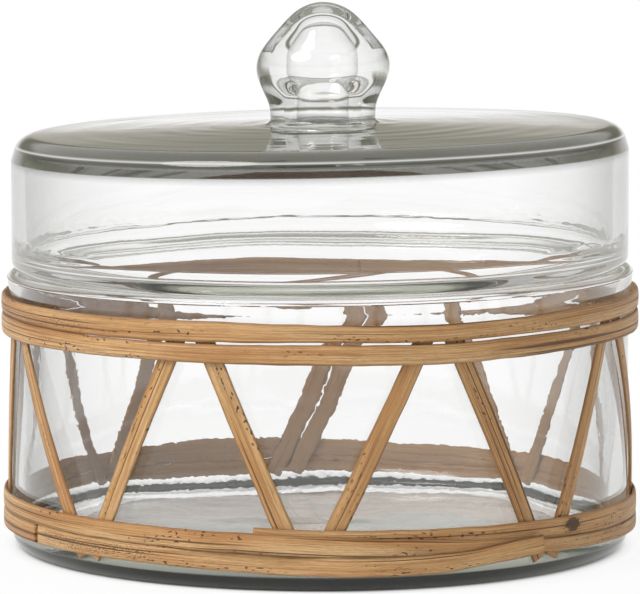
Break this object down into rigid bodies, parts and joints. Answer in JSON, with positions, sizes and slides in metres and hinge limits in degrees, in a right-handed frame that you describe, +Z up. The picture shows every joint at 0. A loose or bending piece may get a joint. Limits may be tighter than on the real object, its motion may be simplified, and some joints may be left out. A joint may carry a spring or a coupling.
{
  "type": "herb keeper",
  "caption": "Round glass herb keeper in a cage of flat cane hoops and slanting strips, with a deep lift-off glass lid and a hollow glass knob.",
  "frame": {"origin": "centre of the foot, on the surface that the keeper stands on", "axes": "+Z up along the jar's axis, -Y towards the front, where the ends of the lower cane winding cross"},
  "size_m": [0.2008, 0.2024, 0.1711],
  "materials": {
    "glass": "clear hand-blown glass with a grey-green edge tint",
    "cane": "natural satin rattan peel with long brown grain"
  },
  "bodies": {
    "keeper": {"glass_jar": "glass", "upper_hoop_top": "cane", "upper_hoop_bottom": "cane", "lower_wrap_long": "cane", "lower_wrap_short": "cane", "cane_brace_01": "cane", "cane_brace_02": "cane", "cane_brace_03": "cane", "cane_brace_04": "cane", "cane_brace_05": "cane", "cane_brace_06": "cane", "cane_brace_07": "cane", "cane_brace_08": "cane", "cane_brace_09": "cane", "cane_brace_10": "cane", "cane_brace_11": "cane", "cane_brace_12": "cane", "cane_brace_13": "cane", "cane_brace_14": "cane", "cane_brace_15": "cane", "cane_brace_16": "cane"},
    "lid": {"glass_lid": "glass", "lid_knob": "glass"}
  },
  "joints": [
    {"name": "lid_lift", "type": "slide", "parent": "keeper", "child": "lid", "axis": [0, 0, 1], "range_m": [0, 0.12]}
  ]
}
